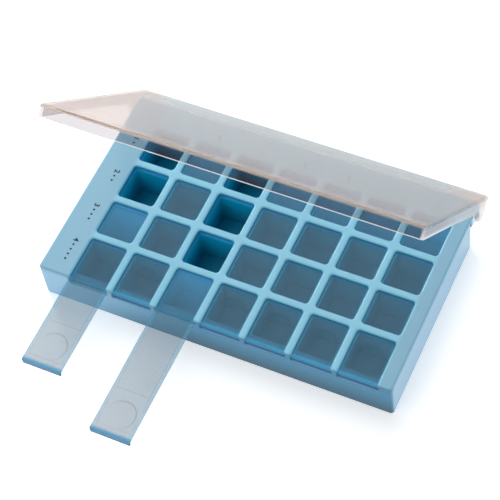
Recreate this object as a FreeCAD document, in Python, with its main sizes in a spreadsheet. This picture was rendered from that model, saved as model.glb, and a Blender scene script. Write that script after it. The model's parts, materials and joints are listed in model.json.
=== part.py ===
import FreeCAD, Part
import math
import os
import re
import Sketcher

# A weekly pill organizer: a tray of compartments, a window frame that closes its top,
# one sliding cover for each column, and a large hinged lid on two short pins.
# Millimetres. The origin is the centre of the tray's underside, +X runs along the
# columns, -Y is the front where the covers slide out, and +Z is up.

sizes = {
    # grid of compartments
    "column_count": 7,
    "row_count": 4,
    "cell_pitch": 26.0,
    "window_size": 21.6,
    "window_corner": 1.8,
    "divider_thickness": 5.2,
    "cell_corner": 1.5,
    # tray and frame
    "tray_height": 25.4,
    "left_margin": 18.9,
    "right_margin": 8.4,
    "front_margin": 5.6,
    "rear_margin": 6.6,
    "outer_wall": 2.2,
    "floor_thickness": 2.0,
    "frame_thickness": 2.0,
    "tray_corner": 2.0,
    "frame_edge": 1.3,
    "bar_end": 1.7,
    "seam_edge": 0.5,
    "foot_edge": 0.8,
    # hinge
    "pivot_behind": 6.7,
    "pivot_sink": 0.3,
    "knuckle_radius": 4.6,
    "knuckle_width": 12.0,
    "knuckle_neck": 2.7,
    "pin_diameter": 3.0,
    "pin_seat": 10.0,
    "pin_clearance": 0.05,
    "pin_end_gap": 0.2,
    # sliding covers
    "cover_thickness": 1.6,
    "cover_side_gap": 0.3,
    "cover_gap": 0.3,
    "bar_overlap": 1.0,
    "cover_seat": 2.3,
    "cover_corner": 0.6,
    "cover_rail": 1.8,
    "cover_recess": 0.5,
    "grip_recess": 0.25,
    "grip_land": 3.4,
    "step_from_front": 27.0,
    "cover_edge": 0.3,
    "lip_thickness": 1.4,
    "lip_height": 3.6,
    "lip_inset": 0.7,
    "dish_diameter": 16.0,
    "dish_depth": 0.7,
    "dish_from_front": 13.2,
    "first_cover_out": 53.7,
    "third_cover_out": 76.2,
    # lid
    "lid_rise": 5.5,
    "lid_panel": 1.6,
    "lid_wall": 1.8,
    "lid_gap": 0.7,
    "lid_rear_gap": 2.9,
    "lid_corner": 1.6,
    "lid_edge": 1.7,
    "skirt_over_cover": 0.7,
    "ear_skin": 0.6,
    "ear_drop": 3.0,
    "ear_front": 4.2,
    "ear_slope": 13.0,
    "ear_slope_rise": 2.4,
    "ear_run": 60.0,
    "ear_round": 1.2,
    "ear_heel": 1.5,
    "lid_angle": 46.5,
}

# Lengths that follow from the sizes above.
derived = {
    "tray_length": "left_margin + right_margin + (column_count - 1) * cell_pitch + window_size",
    "tray_depth": "front_margin + rear_margin + (row_count - 1) * cell_pitch + window_size",
    "grid_x": "(left_margin - right_margin) / 2",
    "grid_y": "(front_margin - rear_margin) / 2",
    "first_column": "grid_x - (column_count - 1) * cell_pitch / 2",
    "first_row": "grid_y + (row_count - 1) * cell_pitch / 2",
    "last_row": "grid_y - (row_count - 1) * cell_pitch / 2",
    "tray_front": "-tray_depth / 2",
    "tray_back": "tray_depth / 2",
    "cell_size": "cell_pitch - divider_thickness",
    "wall_top": "tray_height - frame_thickness",
    "ledge_top": "wall_top - cover_thickness - 2 * cover_gap",
    "grid_left": "first_column - channel_width / 2 - outer_wall",
    "grid_right": "first_column + (column_count - 1) * cell_pitch + channel_width / 2 + outer_wall",
    "cover_back": "first_row + cell_size / 2 + cover_seat",
    "channel_back": "cover_back + cover_gap",
    "cover_front": "tray_front + lip_inset",
    "lip_seat": "cover_front + lip_thickness + cover_gap",
    "channel_width": "window_size + 2 * bar_overlap",
    "cover_width": "channel_width - 2 * cover_side_gap",
    "cover_length": "cover_back - cover_front",
    "cover_bottom": "ledge_top + cover_gap",
    "cover_top": "cover_bottom + cover_thickness",
    "step_line": "cover_front + step_from_front",
    "grip_front": "cover_front + lip_thickness + grip_land",
    "shelf_depth": "pivot_behind + knuckle_radius",
    "pivot_y": "tray_back + pivot_behind",
    "pivot_drop": "knuckle_radius + pivot_sink",
    "pivot_z": "tray_height - pivot_drop",
    "lid_side": "tray_length / 2 + lid_gap",
    "lid_outside": "lid_side + lid_wall",
    "lid_top": "lid_rise + pivot_drop",
    "skirt_bottom": "pivot_drop - frame_thickness - cover_gap + skirt_over_cover",
    "lid_height": "lid_top + ear_drop",
    "lid_front": "-(tray_depth + pivot_behind + lid_gap + lid_wall)",
    "lid_rear": "knuckle_radius + lid_rear_gap + lid_wall",
    "lid_depth": "lid_rear - lid_front",
    "lid_centre": "(lid_rear + lid_front) / 2",
    "pin_reach": "lid_gap + lid_wall - ear_skin - pin_end_gap",
}

doc = FreeCAD.newDocument("pill_organizer")
sheet = doc.addObject("Spreadsheet::Sheet", "Sizes")
for row, (name, number) in enumerate(sizes.items(), start=1):
    sheet.set(f"A{row}", name)
    sheet.set(f"B{row}", str(number))
    sheet.setAlias(f"B{row}", name)
doc.recompute()


def formula(text):
    # Spells a length out in the sheet's own cells.
    def spell(word):
        name = word.group()
        if name in derived:
            return f"({formula(derived[name])})"
        return f"Sizes.{name}" if name in sizes else name

    return re.sub(r"[a-z][a-z_]*", spell, text)


def length(text):
    return float(sheet.evalExpression(formula(text)))


def origin_feature(body, role):
    return next(feature for feature in body.Origin.OriginFeatures if feature.Role == role)


def new_body(label):
    body = doc.addObject("PartDesign::Body", label)
    body.Label = label
    return body


def new_sketch(body, name, role, place):
    # The sketch's own origin is set off from an origin plane of its body.
    sketch = body.newObject("Sketcher::SketchObject", name)
    sketch.AttachmentSupport = [(origin_feature(body, role), "")]
    sketch.MapMode = "FlatFace"
    for axis, text in zip("xyz", place):
        sketch.setExpression(f"AttachmentOffset.Base.{axis}", formula(text))
    return sketch


def bind_constraint(sketch, constraint, name, text):
    index = sketch.addConstraint(constraint)
    sketch.renameConstraint(index, name)
    sketch.setExpression(f"Constraints.{name}", formula(text))


def rounded_rectangle(body, name, place, width, depth, radius):
    # A rectangle about the sketch's origin: four corner arcs joined by four tangent lines.
    sketch = new_sketch(body, name, "XY_Plane", place)
    arc_radius = length(radius)
    reach_x = length(width) / 2 - arc_radius
    reach_y = length(depth) / 2 - arc_radius
    centres = [(reach_x, reach_y), (-reach_x, reach_y), (-reach_x, -reach_y), (reach_x, -reach_y)]
    arcs = []
    for corner, (x, y) in enumerate(centres):
        circle = Part.Circle(FreeCAD.Vector(x, y, 0), FreeCAD.Vector(0, 0, 1), arc_radius)
        arcs.append(Part.ArcOfCircle(circle, corner * math.pi / 2, (corner + 1) * math.pi / 2))
    sketch.addGeometry(arcs, False)
    for corner in range(4):
        start = arcs[corner].EndPoint
        end = arcs[(corner + 1) % 4].StartPoint
        sketch.addGeometry(Part.LineSegment(start, end), False)
    for corner in range(4):
        line = 4 + corner
        sketch.addConstraint(Sketcher.Constraint("Tangent", corner, 2, line, 1))
        sketch.addConstraint(Sketcher.Constraint("Tangent", line, 2, (corner + 1) % 4, 1))
        sketch.addConstraint(Sketcher.Constraint("Vertical" if corner % 2 else "Horizontal", line))
    for corner in range(1, 4):
        sketch.addConstraint(Sketcher.Constraint("Equal", 0, corner))
    sketch.addConstraint(Sketcher.Constraint("Symmetric", 0, 3, 2, 3, -1, 1))
    bind_constraint(sketch, Sketcher.Constraint("Radius", 0, arc_radius), "radius", radius)
    bind_constraint(sketch, Sketcher.Constraint("DistanceX", 5, 1, 7, 1, length(width)), "width", width)
    bind_constraint(sketch, Sketcher.Constraint("DistanceY", 6, 1, 4, 1, length(depth)), "depth", depth)
    return sketch


def circle_sketch(body, name, role, place, diameter):
    sketch = new_sketch(body, name, role, place)
    circle = Part.Circle(FreeCAD.Vector(0, 0, 0), FreeCAD.Vector(0, 0, 1), length(diameter) / 2)
    sketch.addGeometry(circle, False)
    sketch.addConstraint(Sketcher.Constraint("Coincident", 0, 3, -1, 1))
    bind_constraint(sketch, Sketcher.Constraint("Diameter", 0, length(diameter)), "diameter", diameter)
    return sketch


def pad(body, name, sketch, depth, downward=False):
    feature = body.newObject("PartDesign::Pad", name)
    feature.Profile = sketch
    feature.Reversed = downward
    feature.setExpression("Length", formula(depth))
    doc.recompute()
    return feature


def check_cut(body, name, before):
    if not body.Shape.Volume < before:
        raise RuntimeError(f"{name} cuts nothing")


def pocket(body, name, sketch, depth, upward=False):
    before = body.Shape.Volume
    feature = body.newObject("PartDesign::Pocket", name)
    feature.Profile = sketch
    feature.Reversed = upward
    feature.setExpression("Length", formula(depth))
    doc.recompute()
    check_cut(body, name, before)
    return feature


def repeat(body, name, original, rows=None):
    # Repeats a cut along the columns, and also down the rows where rows is given.
    pattern = body.newObject("PartDesign::LinearPattern", name)
    pattern.Originals = [original]
    pattern.Direction = (origin_feature(body, "X_Axis"), [""])
    pattern.Mode = "Spacing"
    pattern.setExpression("Offset", formula("cell_pitch"))
    pattern.setExpression("Occurrences", formula("column_count"))
    if rows:
        pattern.Direction2 = (origin_feature(body, "Y_Axis"), [""])
        pattern.Reversed2 = True
        pattern.Mode2 = "Extent"
        pattern.setExpression("Length2", formula(f"({rows} - 1) * cell_pitch"))
        pattern.setExpression("Occurrences2", formula(rows))
    body.Tip = pattern
    doc.recompute()
    return pattern


def mirror(body, name, originals):
    feature = body.newObject("PartDesign::Mirrored", name)
    feature.Originals = originals
    feature.MirrorPlane = (origin_feature(body, "YZ_Plane"), [""])
    body.Tip = feature
    doc.recompute()
    return feature


def fillet(body, name, radius, chosen):
    # Rounds every edge of the body so far that the test picks.
    base = body.Tip
    names = [f"Edge{number}" for number, edge in enumerate(base.Shape.Edges, start=1) if chosen(edge)]
    feature = body.newObject("PartDesign::Fillet", name)
    feature.Base = (base, names)
    feature.setExpression("Radius", formula(radius))
    doc.recompute()
    return feature


def lies_at(edge, axis, height):
    box = edge.BoundBox
    low = getattr(box, f"{axis}Min")
    high = getattr(box, f"{axis}Max")
    return abs(low - height) < 1e-4 and abs(high - height) < 1e-4


def make_base_tray():
    body = new_body("base_tray")
    outline = rounded_rectangle(body, "TrayOutline", ("0", "0", "0"), "tray_length", "tray_depth", "tray_corner")
    pad(body, "TrayBlock", outline, "wall_top")
    fillet(body, "FootRound", "foot_edge", lambda edge: lies_at(edge, "Z", 0))
    seam = length("wall_top")
    fillet(body, "SeamRound", "seam_edge", lambda edge: lies_at(edge, "Z", seam))

    # One channel for each cover, open at the front, then the narrower compartments below it.
    overrun = "tray_corner"
    channel_length = f"channel_back - tray_front + {overrun}"
    channel_place = ("first_column", f"channel_back - ({channel_length}) / 2", "wall_top")
    channel = rounded_rectangle(
        body, "ChannelOutline", channel_place, "channel_width", channel_length, "cover_corner"
    )
    repeat(body, "Channels", pocket(body, "Channel", channel, "wall_top - ledge_top"))
    # A rebate across each channel's mouth takes the cover's lip.
    rebate_length = f"lip_seat - tray_front + {overrun}"
    rebate_place = ("first_column", f"lip_seat - ({rebate_length}) / 2", "ledge_top")
    rebate = rounded_rectangle(
        body, "RebateOutline", rebate_place, "channel_width", rebate_length, "cover_corner"
    )
    repeat(body, "Rebates", pocket(body, "Rebate", rebate, "lip_height - cover_thickness"))
    cell_place = ("first_column", "first_row", "ledge_top")
    cell = rounded_rectangle(body, "CellOutline", cell_place, "cell_size", "cell_size", "cell_corner")
    repeat(body, "Cells", pocket(body, "Cell", cell, "ledge_top - floor_thickness"), "row_count")

    # The margins beside the grid are hollow, closed above by the frame.
    sides = {
        "Left": ("-tray_length / 2 + outer_wall", "grid_left"),
        "Right": ("grid_right", "tray_length / 2 - outer_wall"),
    }
    for side, (start, end) in sides.items():
        place = (f"({start} + {end}) / 2", "0", "wall_top")
        hollow = rounded_rectangle(
            body, f"{side}Hollow", place, f"{end} - ({start})", "tray_depth - 2 * outer_wall", "cover_corner"
        )
        pocket(body, f"{side}Margin", hollow, "wall_top - floor_thickness")
    return body


def make_top_frame():
    body = new_body("top_frame")
    place = ("0", "shelf_depth / 2", "wall_top")
    outline = rounded_rectangle(
        body, "FrameOutline", place, "tray_length", "tray_depth + shelf_depth", "tray_corner"
    )
    pad(body, "FramePlate", outline, "frame_thickness")

    # Closed windows over the rear rows, and one open to the front in each column.
    window_place = ("first_column", "first_row", "tray_height")
    window = rounded_rectangle(
        body, "WindowOutline", window_place, "window_size", "window_size", "window_corner"
    )
    repeat(body, "Windows", pocket(body, "Window", window, "frame_thickness"), "row_count - 1")
    mouth_length = "window_size + front_margin + window_corner"
    mouth_place = ("first_column", f"last_row + window_size / 2 - ({mouth_length}) / 2", "tray_height")
    mouth = rounded_rectangle(body, "MouthOutline", mouth_place, "window_size", mouth_length, "window_corner")
    repeat(body, "Mouths", pocket(body, "Mouth", mouth, "frame_thickness"))

    # The bars end in rounded tips at the front.
    front = length("tray_front")
    corner_start = length("tray_length / 2 - tray_corner - bar_end")
    fillet(
        body, "BarRound", "bar_end",
        lambda edge: lies_at(edge, "Y", front)
        and edge.BoundBox.XLength < 1e-4
        and abs(edge.BoundBox.XMin) < corner_start,
    )

    # Hinge knuckles under both ends of the rear shelf, bored for the pins.
    knuckle = knuckle_sketch(body)
    lug = pad(body, "Knuckle", knuckle, "knuckle_width")
    bore = circle_sketch(
        body, "PinBoreOutline", "YZ_Plane", ("pivot_y", "pivot_z", "tray_length / 2"), "pin_diameter"
    )
    seat = pocket(body, "PinBore", bore, "pin_seat")
    mirror(body, "Knuckles", [lug, seat])

    top = length("tray_height")
    fillet(body, "FrameRound", "frame_edge", lambda edge: lies_at(edge, "Z", top))
    return body


def knuckle_sketch(body):
    # A round lug about the pivot, hung from the shelf and joined to the back wall by a sloping neck.
    place = ("pivot_y", "pivot_z", "tray_length / 2 - knuckle_width")
    sketch = new_sketch(body, "KnuckleOutline", "YZ_Plane", place)
    radius = length("knuckle_radius")
    wall = -length("pivot_behind")
    shelf = length("pivot_drop - frame_thickness")
    neck = -length("knuckle_neck")
    # The neck's lower edge leaves the wall and meets the lug as a tangent.
    reach = math.hypot(wall, neck)
    touch_angle = math.atan2(neck, wall) + math.acos(radius / reach)
    shelf_angle = math.asin(shelf / radius)
    circle = Part.Circle(FreeCAD.Vector(0, 0, 0), FreeCAD.Vector(0, 0, 1), radius)
    lug = Part.ArcOfCircle(circle, touch_angle, shelf_angle)
    corners = [
        lug.EndPoint,
        FreeCAD.Vector(wall, shelf, 0),
        FreeCAD.Vector(wall, neck, 0),
        lug.StartPoint,
    ]
    sketch.addGeometry(lug, False)
    for start, end in zip(corners, corners[1:]):
        sketch.addGeometry(Part.LineSegment(start, end), False)
    sketch.addConstraint(Sketcher.Constraint("Coincident", 0, 3, -1, 1))
    sketch.addConstraint(Sketcher.Constraint("Coincident", 0, 2, 1, 1))
    sketch.addConstraint(Sketcher.Constraint("Coincident", 1, 2, 2, 1))
    sketch.addConstraint(Sketcher.Constraint("Coincident", 2, 2, 3, 1))
    sketch.addConstraint(Sketcher.Constraint("Tangent", 3, 2, 0, 1))
    sketch.addConstraint(Sketcher.Constraint("Horizontal", 1))
    sketch.addConstraint(Sketcher.Constraint("Vertical", 2))
    bind_constraint(sketch, Sketcher.Constraint("Radius", 0, radius), "radius", "knuckle_radius")
    bind_constraint(sketch, Sketcher.Constraint("DistanceX", 2, 1, -1, 1, -wall), "wall", "pivot_behind")
    bind_constraint(
        sketch, Sketcher.Constraint("DistanceY", -1, 1, 2, 1, shelf), "shelf", "pivot_drop - frame_thickness"
    )
    bind_constraint(sketch, Sketcher.Constraint("DistanceY", 2, 2, -1, 1, -neck), "neck", "knuckle_neck")
    return sketch


def polygon(sketch, corners):
    # A closed outline whose corners are each held by their distances from the sketch's origin.
    points = [FreeCAD.Vector(length(x), length(y), 0) for x, y in corners]
    count = len(points)
    for number, point in enumerate(points):
        sketch.addGeometry(Part.LineSegment(point, points[(number + 1) % count]), False)
    for number in range(count):
        sketch.addConstraint(Sketcher.Constraint("Coincident", number, 2, (number + 1) % count, 1))
    for number, (point, corner) in enumerate(zip(points, corners)):
        for kind, reach, text in zip(("DistanceX", "DistanceY"), point, corner):
            name = f"corner_{number}_{kind[-1].lower()}"
            if reach < 0:
                bind_constraint(sketch, Sketcher.Constraint(kind, number, 1, -1, 1, -reach), name, f"-({text})")
            else:
                bind_constraint(sketch, Sketcher.Constraint(kind, -1, 1, number, 1, reach), name, text)


def make_cover(number, column, out):
    # A frosted strip with raised side rails, a thumb dish and a lip that hangs in the tray's rebate.
    body = new_body(f"cover_{number}")
    plate_place = ("0", "(cover_front + cover_back) / 2", "cover_bottom")
    plate = rounded_rectangle(
        body, f"PlateOutline{number}", plate_place, "cover_width", "cover_length", "cover_corner"
    )
    pad(body, f"Plate{number}", plate, "cover_thickness")
    lip_place = ("0", "cover_front + lip_thickness / 2", "cover_bottom")
    lip = rounded_rectangle(
        body, f"LipOutline{number}", lip_place, "cover_width", "lip_thickness", "cover_corner"
    )
    pad(body, f"Lip{number}", lip, "lip_height - cover_thickness", downward=True)

    # Both recesses lie between the rails, the grip's the shallower, so a step shows where they meet.
    recesses = {
        "Recess": ("step_line", "cover_back - cover_rail", "cover_recess"),
        "GripRecess": ("grip_front", "step_line + cover_rail", "grip_recess"),
    }
    for name, (front, back, depth) in recesses.items():
        place = ("0", f"({front} + {back}) / 2", "cover_top")
        outline = rounded_rectangle(
            body,
            f"{name}Outline{number}",
            place,
            "cover_width - 2 * cover_rail",
            f"{back} - ({front})",
            "cover_corner",
        )
        pocket(body, f"{name}{number}", outline, depth)
    before = body.Shape.Volume
    dish = body.newObject("PartDesign::Groove", f"Dish{number}")
    dish.Profile = dish_sketch(body, f"DishOutline{number}")
    dish.ReferenceAxis = (dish.Profile[0], ["V_Axis"])
    dish.Angle = 360
    doc.recompute()
    check_cut(body, dish.Name, before)
    front = length("cover_front")
    fillet(body, f"LipRound{number}", "cover_edge", lambda edge: lies_at(edge, "Y", front))

    body.setExpression("Placement.Base.x", formula(column))
    body.setExpression("Placement.Base.y", formula(out))
    return body


def dish_sketch(body, name):
    # Half of the dish's section: a shallow arc that is turned about its vertical axis.
    place = ("cover_front + dish_from_front", "cover_top - grip_recess", "0")
    sketch = new_sketch(body, name, "YZ_Plane", place)
    rim = length("dish_diameter / 2")
    depth = length("dish_depth")
    arc_radius = (rim * rim + depth * depth) / (2 * depth)
    arc_centre = FreeCAD.Vector(0, arc_radius - depth, 0)
    half_angle = math.asin(rim / arc_radius)
    circle = Part.Circle(arc_centre, FreeCAD.Vector(0, 0, 1), arc_radius)
    arc = Part.ArcOfCircle(circle, -math.pi / 2, -math.pi / 2 + half_angle)
    centre = FreeCAD.Vector(0, 0, 0)
    sketch.addGeometry(arc, False)
    sketch.addGeometry(Part.LineSegment(arc.EndPoint, centre), False)
    sketch.addGeometry(Part.LineSegment(centre, arc.StartPoint), False)
    sketch.addConstraint(Sketcher.Constraint("Coincident", 0, 2, 1, 1))
    sketch.addConstraint(Sketcher.Constraint("Coincident", 1, 2, 2, 1))
    sketch.addConstraint(Sketcher.Constraint("Coincident", 2, 2, 0, 1))
    sketch.addConstraint(Sketcher.Constraint("Coincident", 1, 2, -1, 1))
    sketch.addConstraint(Sketcher.Constraint("Horizontal", 1))
    sketch.addConstraint(Sketcher.Constraint("Vertical", 2))
    sketch.addConstraint(Sketcher.Constraint("PointOnObject", 0, 3, -2))
    bind_constraint(sketch, Sketcher.Constraint("DistanceX", -1, 1, 1, 1, rim), "rim", "dish_diameter / 2")
    bind_constraint(sketch, Sketcher.Constraint("DistanceY", 2, 2, -1, 1, depth), "depth", "dish_depth")
    return sketch


def make_lid():
    # Modelled about its own hinge axis as if closed, then swung open about that axis.
    body = new_body("lid")
    place = ("0", "lid_centre", "-ear_drop")
    outline = rounded_rectangle(body, "LidOutline", place, "2 * lid_outside", "lid_depth", "lid_corner")
    pad(body, "LidBlock", outline, "lid_height")
    top = length("lid_top")
    fillet(body, "LidRound", "lid_edge", lambda edge: lies_at(edge, "Z", top))
    inside = rounded_rectangle(
        body, "LidInside", place, "2 * lid_side", "lid_depth - 2 * lid_wall", "lid_corner / 2"
    )
    pocket(body, "LidHollow", inside, "lid_height - lid_panel", upward=True)

    # The skirts are cut back all round, apart from the hinge ears at the rear of both sides.
    overrun = "lid_wall"
    side_place = ("0", "0", f"lid_outside + {overrun}")
    across = f"2 * (lid_outside + {overrun})"
    front_end = f"lid_front - {overrun}"
    below = f"-ear_drop - {overrun}"
    skirt = new_sketch(body, "SkirtOutline", "YZ_Plane", side_place)
    polygon(skirt, [
        (front_end, "skirt_bottom"),
        (front_end, below),
        ("-ear_front", below),
        ("-ear_front", "-ear_drop"),
        ("-ear_slope", "ear_slope_rise"),
        ("-ear_run", "skirt_bottom"),
    ])
    pocket(body, "SkirtCut", skirt, across)
    heel = new_sketch(body, "HeelOutline", "YZ_Plane", side_place)
    polygon(heel, [
        ("lid_rear", "-ear_drop + ear_heel"),
        ("lid_rear - ear_heel", "-ear_drop"),
        ("lid_rear - ear_heel", below),
        (f"lid_rear + {overrun}", below),
        (f"lid_rear + {overrun}", "-ear_drop + ear_heel"),
    ])
    pocket(body, "HeelCut", heel, across)
    rear_place = ("0", f"lid_rear - {overrun}", "-ear_drop")
    rear = rounded_rectangle(
        body, "RearOutline", rear_place, "2 * lid_side", f"4 * {overrun}", "lid_corner / 2"
    )
    pocket(body, "RearCut", rear, "ear_drop + skirt_bottom", upward=True)

    hole = circle_sketch(
        body, "EarBoreOutline", "YZ_Plane", ("0", "0", "lid_side"), "pin_diameter + 2 * pin_clearance"
    )
    mirror(body, "EarBores", [pocket(body, "EarBore", hole, "lid_wall - ear_skin", upward=True)])
    bottom = -length("ear_drop")
    ear_front = -length("ear_front")
    fillet(
        body, "EarRound", "ear_round",
        lambda edge: lies_at(edge, "Z", bottom) and lies_at(edge, "Y", ear_front),
    )

    body.Placement = FreeCAD.Placement(FreeCAD.Vector(), FreeCAD.Rotation(FreeCAD.Vector(-1, 0, 0), 0))
    body.setExpression("Placement.Base.y", formula("pivot_y"))
    body.setExpression("Placement.Base.z", formula("pivot_z"))
    body.setExpression("Placement.Rotation.Angle", formula("lid_angle"))
    return body


def make_pin(label, start):
    pin = doc.addObject("Part::Cylinder", label)
    pin.Label = label
    pin.Placement = FreeCAD.Placement(FreeCAD.Vector(), FreeCAD.Rotation(FreeCAD.Vector(0, 1, 0), 90))
    pin.setExpression("Radius", formula("pin_diameter / 2"))
    pin.setExpression("Height", formula("pin_seat + pin_reach"))
    pin.setExpression("Placement.Base.x", formula(start))
    pin.setExpression("Placement.Base.y", formula("pivot_y"))
    pin.setExpression("Placement.Base.z", formula("pivot_z"))
    return pin


# Two covers are drawn out, as far as two and nearly three rows.
drawn_out = {1: "-first_cover_out", 3: "-third_cover_out"}

pieces = [make_base_tray(), make_top_frame()]
for number in range(1, sizes["column_count"] + 1):
    column = f"first_column + {number - 1} * cell_pitch"
    pieces.append(make_cover(number, column, drawn_out.get(number, "0")))
pieces.append(make_lid())
pieces.append(make_pin("hinge_pin_left", "-(tray_length / 2 + pin_reach)"))
pieces.append(make_pin("hinge_pin_right", "tray_length / 2 - pin_seat"))
doc.recompute()

for item in doc.Objects:
    if "Invalid" in item.State or "Error" in item.State:
        raise RuntimeError(f"{item.Label} did not compute")
for piece in pieces:
    if piece.Shape.isNull() or not piece.Shape.isValid() or len(piece.Shape.Solids) != 1:
        raise RuntimeError(f"{piece.Label} is not one sound solid")

os.makedirs("parts", exist_ok=True)
for piece in pieces:
    piece.Shape.exportStep(f"parts/{piece.Label}.step")
    print(f"{piece.Label}: {piece.Shape.Volume / 1000:.2f} cm3")
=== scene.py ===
import json
import math

import bmesh
import bpy
from mathutils import Matrix, Vector


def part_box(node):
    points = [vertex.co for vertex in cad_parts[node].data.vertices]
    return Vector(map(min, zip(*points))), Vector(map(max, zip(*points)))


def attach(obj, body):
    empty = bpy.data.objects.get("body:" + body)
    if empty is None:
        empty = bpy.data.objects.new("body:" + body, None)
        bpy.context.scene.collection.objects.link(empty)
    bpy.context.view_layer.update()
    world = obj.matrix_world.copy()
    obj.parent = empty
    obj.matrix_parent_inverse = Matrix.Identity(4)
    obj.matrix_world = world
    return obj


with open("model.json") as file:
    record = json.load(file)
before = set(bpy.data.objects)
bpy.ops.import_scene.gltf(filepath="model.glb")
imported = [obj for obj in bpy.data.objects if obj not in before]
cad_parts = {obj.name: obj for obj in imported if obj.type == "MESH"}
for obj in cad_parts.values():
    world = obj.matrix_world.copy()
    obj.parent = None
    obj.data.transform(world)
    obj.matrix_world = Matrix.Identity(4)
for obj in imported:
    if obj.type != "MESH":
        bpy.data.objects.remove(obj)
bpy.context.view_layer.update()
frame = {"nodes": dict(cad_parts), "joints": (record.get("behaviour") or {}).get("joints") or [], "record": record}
nodes = frame["nodes"]
compartments = {box["name"]: box["box_m"] for box in frame["record"]["physics"]["openings"]}
lidHinge = next(joint for joint in frame["joints"] if joint["name"] == "lid_hinge")
covers = sorted(name for name in nodes if name.startswith("cover_"))
mm = 0.001
print("frame loaded:", len(nodes), "pieces,", len(compartments), "compartments")


def hexToLinear(colour):
    channels = [int(colour[start:start + 2], 16) / 255 for start in (1, 3, 5)]
    linear = [c / 12.92 if c <= 0.04045 else ((c + 0.055) / 1.055) ** 2.4 for c in channels]
    return (*linear, 1.0)


def addNode(tree, kind, inputs=None, **settings):
    node = tree.nodes.new(kind)
    for name, value in settings.items():
        setattr(node, name, value)
    for socket, value in (inputs or {}).items():
        if isinstance(value, bpy.types.NodeSocket):
            tree.links.new(value, node.inputs[socket])
        else:
            node.inputs[socket].default_value = value
    return node


def newMaterial(name):
    material = bpy.data.materials.new(name)
    material.use_nodes = True
    material.node_tree.nodes.clear()
    return material, material.node_tree


# every zone hides the ones before it, as far as its shares, multiplied together, reach
def blendZones(tree, key, ground, zones):
    coloured = key == "colour"
    kind, start, result = ("RGBA", 6, 2) if coloured else ("FLOAT", 2, 0)
    blended = hexToLinear(ground[key]) if coloured else ground[key]
    for zone, shares in zones:
        share = shares[0]
        for other in shares[1:]:
            share = addNode(tree, "ShaderNodeMath", {0: share, 1: other}, operation="MULTIPLY").outputs[0]
        value = hexToLinear(zone[key]) if coloured else zone[key]
        mix = addNode(tree, "ShaderNodeMix", {0: share, start: blended, start + 1: value}, data_type=kind)
        blended = mix.outputs[result]
    return blended


def dress(nodeName, material):
    mesh = nodes[nodeName].data
    mesh.materials.clear()
    mesh.materials.append(material)


# blue polypropylene, injection moulded and slightly translucent, pale on the hollow margins; its light and shade
# are partly painted:
# painted shade on the faces turned front and back beyond the left margin, deeper at their foot, a deep painted
# shade in the compartments that lightens towards their top, and painted light and shade on the up-facing ledges,
# the window walls and the bars
trayFinish = {
    "margin": {"colour": "#8FC4E4"},
    "front": {"colour": "#3088B0"},
    "foot": {"colour": "#22627C"},
    "footMm": (2.0, 16.0),
    "wellShade": {"colour": "#0480A0"},
    "inside": {"colour": "#0CBCE0"},
    "ledge": {"colour": "#1C90C0"},
    "window": {"colour": "#0CA0CC"},
    "top": {"colour": "#8CC0DA"},
    "bars": {"colour": "#90D4EE"},
    "barsMm": 3.0,
    "frontMm": (-6.0, 70.0),
    "skinMm": 1.2,
    "skinFadeMm": 0.6,
    "ledgeFadeMm": 0.05,
    "seamMm": 0.02,
    "seamFadeMm": 0.01,
    "levelSlope": (0.8, 0.95),
    "topSlope": (0.25, 0.85),
    "roughness": (0.2, 0.26),
    "ior": 1.42,
    "grainMm": 0.9,
    "grainDetail": 2.0,
    "grainBump": 0.05,
    "bumpMm": 0.1,
}


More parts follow.
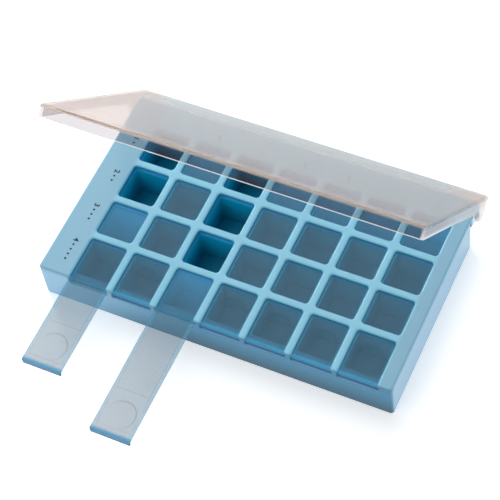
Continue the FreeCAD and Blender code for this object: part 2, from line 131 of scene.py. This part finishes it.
def trayPlastic():
    material, tree = newMaterial("bluePolypropylene")
    trayLow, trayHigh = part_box("base_tray")
    gridLeft = min(box[0][0] for box in compartments.values())
    gridRight = max(box[1][0] for box in compartments.values())
    ledge = compartments["compartment_1_1"][1][2]
    place = addNode(tree, "ShaderNodeTexCoord").outputs["Object"]
    axes = addNode(tree, "ShaderNodeSeparateXYZ", {0: place}).outputs
    normal = addNode(tree, "ShaderNodeNewGeometry").outputs["Normal"]
    turned = addNode(tree, "ShaderNodeSeparateXYZ", {0: normal}).outputs
    upright = turned[2]

    # depth behind the outer faces: the walls that ring the compartments count as inside
    depths = []
    for axis in (0, 1):
        middle = (trayLow[axis] + trayHigh[axis]) / 2
        reach = (trayHigh[axis] - trayLow[axis]) / 2 - trayFinish["skinMm"] * mm
        offset = addNode(tree, "ShaderNodeMath", {
            0: axes[axis], 1: middle,
        }, operation="SUBTRACT").outputs[0]
        away = addNode(tree, "ShaderNodeMath", {0: offset}, operation="ABSOLUTE").outputs[0]
        depths.append(addNode(tree, "ShaderNodeMath", {0: reach, 1: away}, operation="SUBTRACT").outputs[0])
    depth = addNode(tree, "ShaderNodeMath", {0: depths[0], 1: depths[1]}, operation="MINIMUM").outputs[0]
    within = addNode(tree, "ShaderNodeMapRange", {
        0: depth, 1: 0.0, 2: trayFinish["skinFadeMm"] * mm,
    }).outputs[0]

    frontStart, frontEnd = trayFinish["frontMm"]
    pastMargin = addNode(tree, "ShaderNodeMapRange", {
        0: axes[0], 1: gridLeft + frontStart * mm, 2: gridLeft + frontEnd * mm,
    }, interpolation_type="SMOOTHSTEP").outputs[0]
    facing = addNode(tree, "ShaderNodeMath", {0: turned[1]}, operation="ABSOLUTE").outputs[0]
    rise = addNode(tree, "ShaderNodeMapRange", {0: axes[2], 1: trayLow[2], 2: trayHigh[2]}).outputs[0]
    footLow, footHigh = trayFinish["footMm"]
    footShadeShare = addNode(tree, "ShaderNodeMapRange", {
        0: axes[2], 1: footLow * mm, 2: footHigh * mm, 3: 1.0, 4: 0.0,
    }).outputs[0]
    atLedge = addNode(tree, "ShaderNodeMapRange", {
        0: axes[2], 1: ledge - trayFinish["ledgeFadeMm"] * mm, 2: ledge,
    }).outputs[0]
    level, topShare = (
        addNode(tree, "ShaderNodeMapRange", {
            0: upright, 1: trayFinish[key][0], 2: trayFinish[key][1],
        }).outputs[0]
        for key in ("levelSlope", "topSlope")
    )

    # the frame starts at the seam, and the painted light on its bars ends beside the windows
    seam = trayHigh[2] - trayFinish["seamMm"] * mm
    onFrame = addNode(tree, "ShaderNodeMapRange", {
        0: axes[2], 1: seam, 2: seam + trayFinish["seamFadeMm"] * mm,
    }).outputs[0]
    fromGrid = addNode(tree, "ShaderNodeMath", {
        0: axes[0], 1: (gridLeft + gridRight) / 2,
    }, operation="SUBTRACT").outputs[0]
    besideGrid = addNode(tree, "ShaderNodeMath", {0: fromGrid}, operation="ABSOLUTE").outputs[0]
    gridEnd = (gridRight - gridLeft) / 2
    barsLightShare = addNode(tree, "ShaderNodeMapRange", {
        0: besideGrid, 1: gridEnd, 2: gridEnd + trayFinish["barsMm"] * mm, 3: 1.0, 4: 0.0,
    }).outputs[0]
    colour = blendZones(tree, "colour", trayFinish["margin"], [
        # painted shade on the faces turned front and back, beyond the left margin
        (trayFinish["front"], [pastMargin, facing]),
        # painted shade, deeper towards the foot of those faces
        (trayFinish["foot"], [pastMargin, facing, footShadeShare]),
        # painted shade on the walls around and inside the compartments
        (trayFinish["wellShade"], [within]),
        # painted light, lighter towards the top of the compartment walls
        (trayFinish["inside"], [within, rise]),
        # painted light and shade: the up-facing ledges get a tone of their own
        (trayFinish["ledge"], [atLedge, level]),
        # painted shade on the frame's window walls
        (trayFinish["window"], [onFrame, within]),
        (trayFinish["top"], [onFrame, topShare]),
        # painted light on the bars between the windows
        (trayFinish["bars"], [onFrame, topShare, barsLightShare]),
    ])

    grain = addNode(tree, "ShaderNodeTexNoise", {
        "Vector": place,
        "Scale": 1 / (trayFinish["grainMm"] * mm),
        "Detail": trayFinish["grainDetail"],
    }).outputs[0]
    roughness = addNode(tree, "ShaderNodeMapRange", {
        0: grain, 3: trayFinish["roughness"][0], 4: trayFinish["roughness"][1],
    }).outputs[0]
    bump = addNode(tree, "ShaderNodeBump", {
        "Height": grain,
        "Strength": trayFinish["grainBump"],
        "Distance": trayFinish["bumpMm"] * mm,
    }).outputs[0]
    shader = addNode(tree, "ShaderNodeBsdfPrincipled", {
        "Base Color": colour,
        "Roughness": roughness,
        "IOR": trayFinish["ior"],
        "Normal": bump,
    })
    addNode(tree, "ShaderNodeOutputMaterial", {0: shader.outputs[0]})
    return material


# tinted clear polystyrene strip: a grey-blue veil, bluer on its rails and cut edges, deep blue on its lip;
# painted light makes its rear end bluer, and painted shade darkens the dish rim's rear right side and the lip's
# foot
coverFinish = {
    "plate": {"colour": "#44738C", "alpha": 0.38},
    "heel": {"colour": "#4094C0", "alpha": 0.48},
    "rail": {"colour": "#5097B4", "alpha": 0.42},
    "ring": {"colour": "#3A6074", "alpha": 0.46},
    "edge": {"colour": "#5AA2C4", "alpha": 0.5},
    "lipTop": {"colour": "#40A4D0", "alpha": 0.78},
    "lipFootShade": {"colour": "#005A8E", "alpha": 0.88},
    "heelMm": (6.0, 30.0),
    "edgeSlope": (0.2, 0.9),
    "railMm": 1.8,
    "railFadeMm": 0.1,
    "lipMm": 1.5,
    "lipFade": (0.6, 2.0),
    "lipHeightMm": 3.6,
    "lipRise": (0.35, 0.85),
    "dishMm": 8.0,
    "dishFromFrontMm": 13.2,
    "ringMm": (0.15, 0.6),
    "ringShadeSide": (1.0, 1.0, 0.0),
    "ringReach": (-1.0, 0.8),
    "roughness": (0.22, 0.3),
    "ior": 1.33,
    "frostMm": 3.0,
    "frostDetail": 2.0,
    "frostBump": 0.02,
    "bumpMm": 0.1,
}


def coverPlastic(name, low, high):
    material, tree = newMaterial(name)
    front, bottom = low[1], low[2]
    middle = (low[0] + high[0]) / 2
    place = addNode(tree, "ShaderNodeTexCoord").outputs["Object"]
    axes = addNode(tree, "ShaderNodeSeparateXYZ", {0: place}).outputs
    normal = addNode(tree, "ShaderNodeNewGeometry").outputs["Normal"]
    upright = addNode(tree, "ShaderNodeSeparateXYZ", {0: normal}).outputs[2]
    flat = addNode(tree, "ShaderNodeMath", {0: upright}, operation="ABSOLUTE").outputs[0]
    steep, shallow = coverFinish["edgeSlope"]
    edgeShare = addNode(tree, "ShaderNodeMapRange", {
        0: flat, 1: steep, 2: shallow, 3: 1.0, 4: 0.0,
    }).outputs[0]
    offset = addNode(tree, "ShaderNodeMath", {0: axes[0], 1: middle}, operation="SUBTRACT").outputs[0]
    aside = addNode(tree, "ShaderNodeMath", {0: offset}, operation="ABSOLUTE").outputs[0]
    rail = (high[0] - low[0]) / 2 - coverFinish["railMm"] * mm
    railFade = coverFinish["railFadeMm"] * mm
    railShare = addNode(tree, "ShaderNodeMapRange", {
        0: aside, 1: rail - railFade, 2: rail + railFade,
    }).outputs[0]
    heelEnd, heelStart = coverFinish["heelMm"]
    heelShare = addNode(tree, "ShaderNodeMapRange", {
        0: axes[1], 1: high[1] - heelStart * mm, 2: high[1] - heelEnd * mm,
    }).outputs[0]

    # a painted shade draws the thumb dish's rim as a soft line on its rear right side
    dishCentre = (middle, front + coverFinish["dishFromFrontMm"] * mm, 0.0)
    plan = addNode(tree, "ShaderNodeCombineXYZ", {0: axes[0], 1: axes[1]}).outputs[0]
    reach = addNode(tree, "ShaderNodeVectorMath", {
        0: plan, 1: dishCentre,
    }, operation="DISTANCE").outputs["Value"]
    ring = coverFinish["dishMm"] * mm
    fromRing = addNode(tree, "ShaderNodeMath", {0: reach, 1: ring}, operation="SUBTRACT").outputs[0]
    besideRing = addNode(tree, "ShaderNodeMath", {0: fromRing}, operation="ABSOLUTE").outputs[0]
    ringCore, ringFade = coverFinish["ringMm"]
    ringShadeShare = addNode(tree, "ShaderNodeMapRange", {
        0: besideRing, 1: ringCore * mm, 2: ringFade * mm, 3: 1.0, 4: 0.0,
    }).outputs[0]
    fromDish = addNode(tree, "ShaderNodeVectorMath", {
        0: plan, 1: dishCentre,
    }, operation="SUBTRACT").outputs[0]
    across = addNode(tree, "ShaderNodeVectorMath", {
        0: fromDish, 1: coverFinish["ringShadeSide"],
    }, operation="DOT_PRODUCT").outputs["Value"]
    rimStart, rimEnd = coverFinish["ringReach"]
    shadedSideShare = addNode(tree, "ShaderNodeMapRange", {
        0: across, 1: rimStart * ring, 2: rimEnd * ring,
    }).outputs[0]

    # the lip, with a painted shade at its foot
    lipHeight = coverFinish["lipHeightMm"] * mm
    footLow, footHigh = coverFinish["lipRise"]
    footShadeShare = addNode(tree, "ShaderNodeMapRange", {
        0: axes[2], 1: bottom + footLow * lipHeight, 2: bottom + footHigh * lipHeight, 3: 1.0, 4: 0.0,
    }).outputs[0]
    lip = coverFinish["lipMm"] * mm
    lipStart, lipEnd = coverFinish["lipFade"]
    lipShare = addNode(tree, "ShaderNodeMapRange", {
        0: axes[1], 1: front + lipStart * lip, 2: front + lipEnd * lip, 3: 1.0, 4: 0.0,
    }).outputs[0]
    zones = [
        # painted light on the rear end
        (coverFinish["heel"], [heelShare]),
        (coverFinish["rail"], [railShare]),
        # painted shade on the dish rim's rear right side
        (coverFinish["ring"], [ringShadeShare, shadedSideShare]),
        (coverFinish["edge"], [edgeShare]),
        (coverFinish["lipTop"], [lipShare]),
        # painted shade at the lip's foot
        (coverFinish["lipFootShade"], [lipShare, footShadeShare]),
    ]
    frost = addNode(tree, "ShaderNodeTexNoise", {
        "Vector": place,
        "Scale": 1 / (coverFinish["frostMm"] * mm),
        "Detail": coverFinish["frostDetail"],
    }).outputs[0]
    roughness = addNode(tree, "ShaderNodeMapRange", {
        0: frost, 3: coverFinish["roughness"][0], 4: coverFinish["roughness"][1],
    }).outputs[0]
    bump = addNode(tree, "ShaderNodeBump", {
        "Height": frost,
        "Strength": coverFinish["frostBump"],
        "Distance": coverFinish["bumpMm"] * mm,
    }).outputs[0]
    shader = addNode(tree, "ShaderNodeBsdfPrincipled", {
        "Base Color": blendZones(tree, "colour", coverFinish["plate"], zones),
        "Alpha": blendZones(tree, "alpha", coverFinish["plate"], zones),
        "Roughness": roughness,
        "IOR": coverFinish["ior"],
        "Normal": bump,
    })
    addNode(tree, "ShaderNodeOutputMaterial", {0: shader.outputs[0]})
    return material


# clear polypropylene lid: a frosted panel with misty sides, a polished front skirt,
# a brownish line along its rounded front edge and a painted highlight along its bottom edge
lidFinish = {
    "skirt": {"colour": "#D0CBCD", "clear": 0.97, "roughness": 0.04},
    "side": {"colour": "#F2EEEC", "clear": 0.76, "roughness": 0.3},
    "panel": {"colour": "#D8CECA", "clear": 0.71, "roughness": 0.16},
    "rear": {"colour": "#CCD2D4", "clear": 0.54, "roughness": 0.3},
    "brow": {"colour": "#DCD0CA", "clear": 0.66, "roughness": 0.2},
    "bead": {"colour": "#B8A690", "clear": 0.6, "roughness": 0.3},
    "hemHighlight": {"colour": "#FFFFFF", "clear": 0.2, "roughness": 0.2},
    "panelMm": (8.3, 8.9),
    "rearMm": (-24.0, -10.0),
    "rearEndMm": (80.0, 102.0),
    "browMm": (-119.0, -106.0),
    "hemMm": (3.3, 3.42),
    "wallMm": 1.8,
    "wallFadeMm": 0.1,
    "beadSlope": (0.45, 0.75),
    "beadMm": -117.0,
    "ior": 1.03,
    "cloudMm": 6.0,
    "cloudDetail": 3.0,
    "cloudBump": 0.02,
    "bumpMm": 0.1,
}


def lidPlastic():
    material, tree = newMaterial("frostedClearPolypropylene")
    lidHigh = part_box("lid")[1]
    surface = addNode(tree, "ShaderNodeTexCoord").outputs
    # the lid's own axes, as it lies when it is shut
    opened = math.radians(lidHinge["range_deg"][0])
    shut = addNode(tree, "ShaderNodeMapping", {
        "Vector": surface["Object"],
        "Location": lidHinge["pos_m"],
        "Rotation": (opened, 0.0, 0.0),
    }, vector_type="TEXTURE").outputs[0]
    axes = addNode(tree, "ShaderNodeSeparateXYZ", {0: shut}).outputs
    panelLow, panelHigh = lidFinish["panelMm"]
    panelShare = addNode(tree, "ShaderNodeMapRange", {
        0: axes[2], 1: panelLow * mm, 2: panelHigh * mm,
    }).outputs[0]
    aside = addNode(tree, "ShaderNodeMath", {0: axes[0]}, operation="ABSOLUTE").outputs[0]
    # the panel is mistier over the hinge and along its front edge
    rearShare, rearEndShare, browShare = (
        addNode(tree, "ShaderNodeMapRange", {
            0: place, 1: lidFinish[key][0] * mm, 2: lidFinish[key][1] * mm, 3: start, 4: 1.0 - start,
        }, interpolation_type="SMOOTHSTEP").outputs[0]
        for place, key, start in (
            (axes[1], "rearMm", 0.0), (aside, "rearEndMm", 1.0), (axes[1], "browMm", 1.0),
        )
    )
    side = lidHigh[0] - lidFinish["wallMm"] * mm
    sideFade = lidFinish["wallFadeMm"] * mm
    sideShare = addNode(tree, "ShaderNodeMapRange", {
        0: aside, 1: side - sideFade, 2: side + sideFade,
    }).outputs[0]
    hemLow, hemHigh = lidFinish["hemMm"]
    hemHighlightShare = addNode(tree, "ShaderNodeMath", {
        0: axes[2], 1: (hemLow + hemHigh) / 2 * mm, 2: (hemHigh - hemLow) / 2 * mm,
    }, operation="COMPARE").outputs[0]
    panelUp = (0.0, -math.sin(opened), math.cos(opened))
    slope = addNode(tree, "ShaderNodeVectorMath", {
        0: surface["Normal"], 1: panelUp,
    }, operation="DOT_PRODUCT").outputs["Value"]
    beadLow, beadHigh = lidFinish["beadSlope"]
    beadShare = addNode(tree, "ShaderNodeMath", {
        0: slope, 1: (beadLow + beadHigh) / 2, 2: (beadHigh - beadLow) / 2,
    }, operation="COMPARE").outputs[0]
    beadEnd = lidFinish["beadMm"] * mm
    atFront = addNode(tree, "ShaderNodeMath", {0: axes[1], 1: beadEnd}, operation="LESS_THAN").outputs[0]
    zones = [
        (lidFinish["side"], [sideShare]),
        (lidFinish["panel"], [panelShare]),
        (lidFinish["rear"], [panelShare, rearShare, rearEndShare]),
        (lidFinish["brow"], [panelShare, browShare]),
        (lidFinish["bead"], [beadShare, atFront]),
        # painted highlight along the bottom edge
        (lidFinish["hemHighlight"], [hemHighlightShare]),
    ]
    cloud = addNode(tree, "ShaderNodeTexNoise", {
        "Vector": surface["Object"],
        "Scale": 1 / (lidFinish["cloudMm"] * mm),
        "Detail": lidFinish["cloudDetail"],
    }).outputs[0]
    bump = addNode(tree, "ShaderNodeBump", {
        "Height": cloud,
        "Strength": lidFinish["cloudBump"],
        "Distance": lidFinish["bumpMm"] * mm,
    }).outputs[0]
    shader = addNode(tree, "ShaderNodeBsdfPrincipled", {
        "Base Color": blendZones(tree, "colour", lidFinish["skirt"], zones),
        "Roughness": blendZones(tree, "roughness", lidFinish["skirt"], zones),
        "Transmission Weight": blendZones(tree, "clear", lidFinish["skirt"], zones),
        "IOR": lidFinish["ior"],
        "Normal": bump,
    })
    addNode(tree, "ShaderNodeOutputMaterial", {0: shader.outputs[0]})
    return material


trayMaterial = trayPlastic()
for name in ("base_tray", "top_frame", "hinge_pin_left", "hinge_pin_right"):
    dress(name, trayMaterial)
dress("lid", lidPlastic())
for name in covers:
    dress(name, coverPlastic(name + "Tinted", *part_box(name)))
for name in ("lid", "top_frame", *covers):
    nodes[name].visible_shadow = False  # thin plastic lets the light through
print("plastics done")

# screen printed ink: a number for each row and each column, with as many dots beside a row's number
inkFinish = {"dark": "#0C1626", "worn": "#1E2C44", "roughness": 0.55, "wearMm": 0.7}
marks = {
    "rows": 4,
    "columns": 7,
    "sunkMm": 0.02,
    "proudMm": 0.05,
    "rowNumberMm": 4.3,
    "rowFromLeftMm": 11.4,
    "rowTurn": -90,
    "columnNumberMm": 4.0,
    "boldMm": 0.14,
    "columnBehindMm": 7.7,
    "dotMm": 1.3,
    "dotSides": 20,
    "dotPitchMm": 3.2,
    "mergeMm": 0.001,
}


def ink():
    material, tree = newMaterial("screenPrintInk")
    place = addNode(tree, "ShaderNodeTexCoord").outputs["Object"]
    wear = addNode(tree, "ShaderNodeTexNoise", {
        "Vector": place,
        "Scale": 1 / (inkFinish["wearMm"] * mm),
    }).outputs[0]
    colour = addNode(tree, "ShaderNodeMix", {
        0: wear,
        6: hexToLinear(inkFinish["dark"]),
        7: hexToLinear(inkFinish["worn"]),
    }, data_type="RGBA").outputs[2]
    shader = addNode(tree, "ShaderNodeBsdfPrincipled", {
        "Base Color": colour,
        "Roughness": inkFinish["roughness"],
    })
    addNode(tree, "ShaderNodeOutputMaterial", {0: shader.outputs[0]})
    return material


def addNumber(mark, text, size, place):
    curve = bpy.data.curves.new("number", "FONT")
    curve.body = text
    curve.size = size
    curve.align_x = "CENTER"
    curve.align_y = "CENTER"
    curve.offset = marks["boldMm"] * mm
    curve.extrude = (marks["sunkMm"] + marks["proudMm"]) / 2 * mm
    holder = bpy.data.objects.new("number", curve)
    bpy.context.scene.collection.objects.link(holder)
    bpy.context.view_layer.update()
    flat = bpy.data.meshes.new_from_object(holder.evaluated_get(bpy.context.evaluated_depsgraph_get()))
    bpy.data.objects.remove(holder)
    bpy.data.curves.remove(curve)
    flat.transform(place)
    mark.from_mesh(flat)
    bpy.data.meshes.remove(flat)


def addDot(mark, place):
    bmesh.ops.create_cone(
        mark, cap_ends=True, segments=marks["dotSides"], matrix=place,
        radius1=marks["dotMm"] / 2 * mm, radius2=marks["dotMm"] / 2 * mm,
        depth=(marks["sunkMm"] + marks["proudMm"]) * mm,
    )


def finishMark(mark, name, material):
    bmesh.ops.remove_doubles(mark, verts=mark.verts, dist=marks["mergeMm"] * mm)
    bmesh.ops.recalc_face_normals(mark, faces=mark.faces)
    mesh = bpy.data.meshes.new(name)
    mark.to_mesh(mesh)
    mark.free()
    mesh.materials.append(material)
    piece = bpy.data.objects.new(name, mesh)
    bpy.context.scene.collection.objects.link(piece)
    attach(piece, "tray")


def makeMarks():
    frameLow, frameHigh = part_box("top_frame")
    top = frameHigh[2] + (marks["proudMm"] - marks["sunkMm"]) / 2 * mm
    middles = {name: (Vector(box[0]) + Vector(box[1])) / 2 for name, box in compartments.items()}
    inkMaterial = ink()

    # rows read from the rear to the front, with their tops towards the windows
    rows = bmesh.new()
    turn = Matrix.Rotation(math.radians(marks["rowTurn"]), 4, "Z")
    for row in range(1, marks["rows"] + 1):
        x = frameLow[0] + marks["rowFromLeftMm"] * mm
        y = middles[f"compartment_1_{row}"].y
        start = row * marks["dotPitchMm"] / 2 * mm
        place = Matrix.Translation((x, y, top)) @ turn
        addNumber(rows, str(row), marks["rowNumberMm"] * mm, place @ Matrix.Translation((-start, 0, 0)))
        for dot in range(1, row + 1):
            addDot(rows, place @ Matrix.Translation((dot * marks["dotPitchMm"] * mm - start, 0, 0)))
    finishMark(rows, "rowMarks", inkMaterial)

    columns = bmesh.new()
    for column in range(1, marks["columns"] + 1):
        middle = middles[f"compartment_{column}_1"]
        y = compartments["compartment_1_1"][1][1] + marks["columnBehindMm"] * mm
        place = Matrix.Translation((middle.x, y, top))
        addNumber(columns, str(column), marks["columnNumberMm"] * mm, place)
    finishMark(columns, "columnMarks", inkMaterial)


makeMarks()
print("marks done")

# plain white light table, whose own glow keeps the shadows faint
tableFinish = {"colour": "#FFFFFF", "roughness": 0.6, "glow": 0.42, "size": 6.0}


def makeTable():
    half = tableFinish["size"] / 2
    mesh = bpy.data.meshes.new("table")
    corners = [(-half, -half, 0), (half, -half, 0), (half, half, 0), (-half, half, 0)]
    mesh.from_pydata(corners, [], [(0, 1, 2, 3)])
    table = bpy.data.objects.new("table", mesh)
    bpy.context.scene.collection.objects.link(table)
    material, tree = newMaterial("whiteTable")
    shader = addNode(tree, "ShaderNodeBsdfPrincipled", {
        "Base Color": hexToLinear(tableFinish["colour"]),
        "Roughness": tableFinish["roughness"],
        "Emission Color": hexToLinear(tableFinish["colour"]),
        "Emission Strength": tableFinish["glow"],
    })
    addNode(tree, "ShaderNodeOutputMaterial", {0: shader.outputs[0]})
    mesh.materials.append(material)


makeTable()

# soft studio light: a broad key high behind the part, a small low one at its rear left, fills on the
# right and in front; places in metres
lights = {
    "rearSoftbox": {"at": (-0.39, 0.61, 1.08), "size": 1.1, "watts": 6.6},
    "leftSoftbox": {"at": (-0.72, 0.58, 0.34), "size": 0.2, "watts": 3.4},
    "rightSoftbox": {"at": (1.2, 0.1, 0.3), "size": 0.8, "watts": 2.6},
    "frontSoftbox": {"at": (-0.35, -0.7, 0.9), "size": 0.9, "watts": 3.2},
}
worldLight = {"colour": "#FFFFFF", "strength": 0.27}


def makeLights():
    for name, light in lights.items():
        lamp = bpy.data.lights.new(name, "AREA")
        lamp.size = light["size"]
        lamp.energy = light["watts"]
        holder = bpy.data.objects.new(name, lamp)
        holder.visible_camera = False
        holder.location = light["at"]
        holder.rotation_euler = (-Vector(light["at"])).to_track_quat("-Z", "Y").to_euler()
        bpy.context.scene.collection.objects.link(holder)
    world = bpy.data.worlds.new("studio")
    world.use_nodes = True
    sky = world.node_tree.nodes["Background"]
    sky.inputs["Color"].default_value = hexToLinear(worldLight["colour"])
    sky.inputs["Strength"].default_value = worldLight["strength"]
    bpy.context.scene.world = world


makeLights()

# the photograph's view: angles in degrees, lens and sensor in millimetres, the aim on the frame's top
cameraView = {
    "azimuth": 32.63,
    "elevation": 56.26,
    "roll": -9.49,
    "aim": (0.00005, -0.0049, 0.0254),
    "distance": 0.9351,
    "lens": 126.17,
    "sensor": 36.0,
}


def makeCamera():
    turn = math.radians(cameraView["azimuth"])
    rise = math.radians(cameraView["elevation"])
    back = Vector((math.sin(turn) * math.cos(rise), -math.cos(turn) * math.cos(rise), math.sin(rise)))
    lens = bpy.data.cameras.new("photoCamera")
    lens.lens = cameraView["lens"]
    lens.sensor_width = cameraView["sensor"]
    camera = bpy.data.objects.new("photoCamera", lens)
    level = (-back).to_track_quat("-Z", "Y").to_matrix().to_4x4()
    place = Matrix.Translation(Vector(cameraView["aim"]) + cameraView["distance"] * back)
    camera.matrix_world = place @ level @ Matrix.Rotation(math.radians(cameraView["roll"]), 4, "Z")
    bpy.context.scene.collection.objects.link(camera)
    bpy.context.scene.camera = camera
    bpy.context.scene.view_settings.view_transform = "Standard"


makeCamera()
print("light and camera done")
